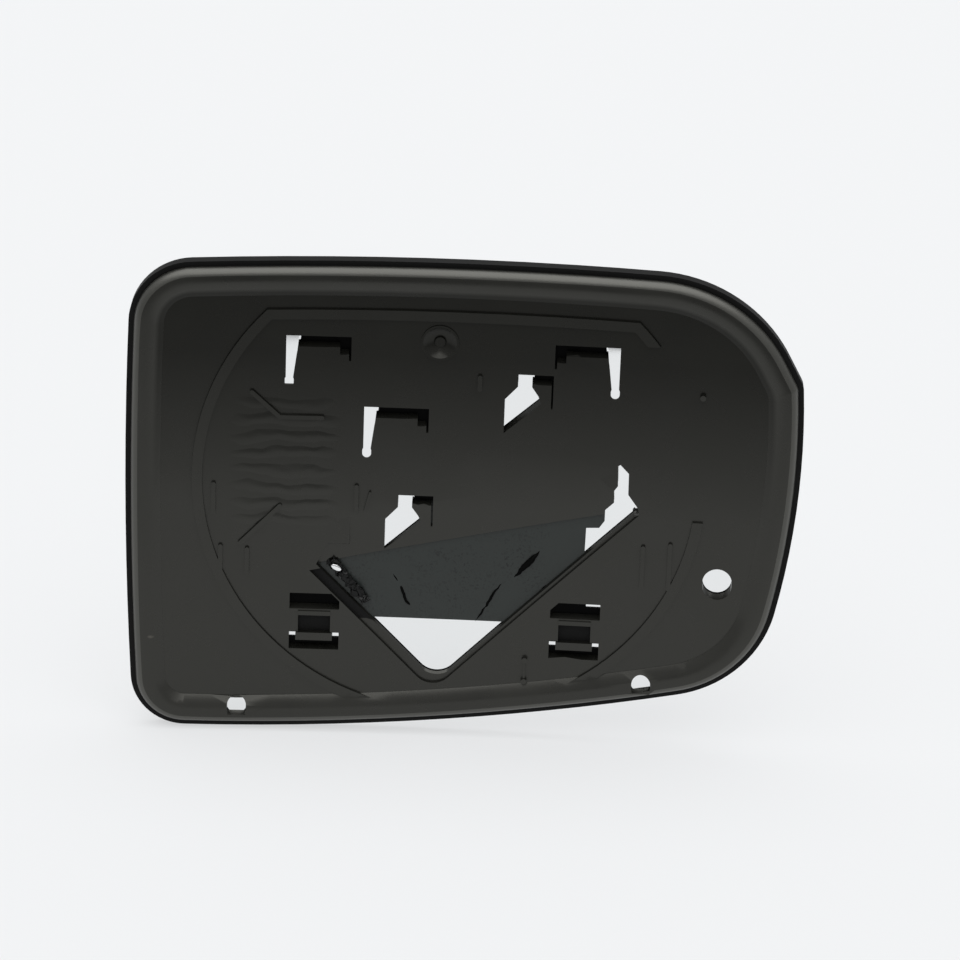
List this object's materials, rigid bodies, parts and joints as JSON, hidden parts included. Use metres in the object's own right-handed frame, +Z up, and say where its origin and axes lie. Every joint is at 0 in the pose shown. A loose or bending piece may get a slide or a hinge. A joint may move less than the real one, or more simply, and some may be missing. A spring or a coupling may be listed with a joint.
{
  "type": "door mirror glass unit",
  "caption": "Convex car door-mirror glass bonded to a black moulded backing plate with a rolled rim, spring tabs, snap windows and a V opening.",
  "frame": {"origin": "actuator axis, the middle of the ring, on the rear surface of the plate's panel", "axes": "+Z up as on the car, +X to the right seen from the rear, +Y the way the reflecting face looks"},
  "size_m": [0.182, 0.0099, 0.1365],
  "materials": {
    "black_abs": "satin moulded ABS",
    "dark_film": "dull adhesive film",
    "mirror": "silvered glass"
  },
  "bodies": {
    "root": {"backing_plate": "black_abs", "bonding_film": "dark_film", "mirror_glass": "mirror"}
  },
  "joints": []
}
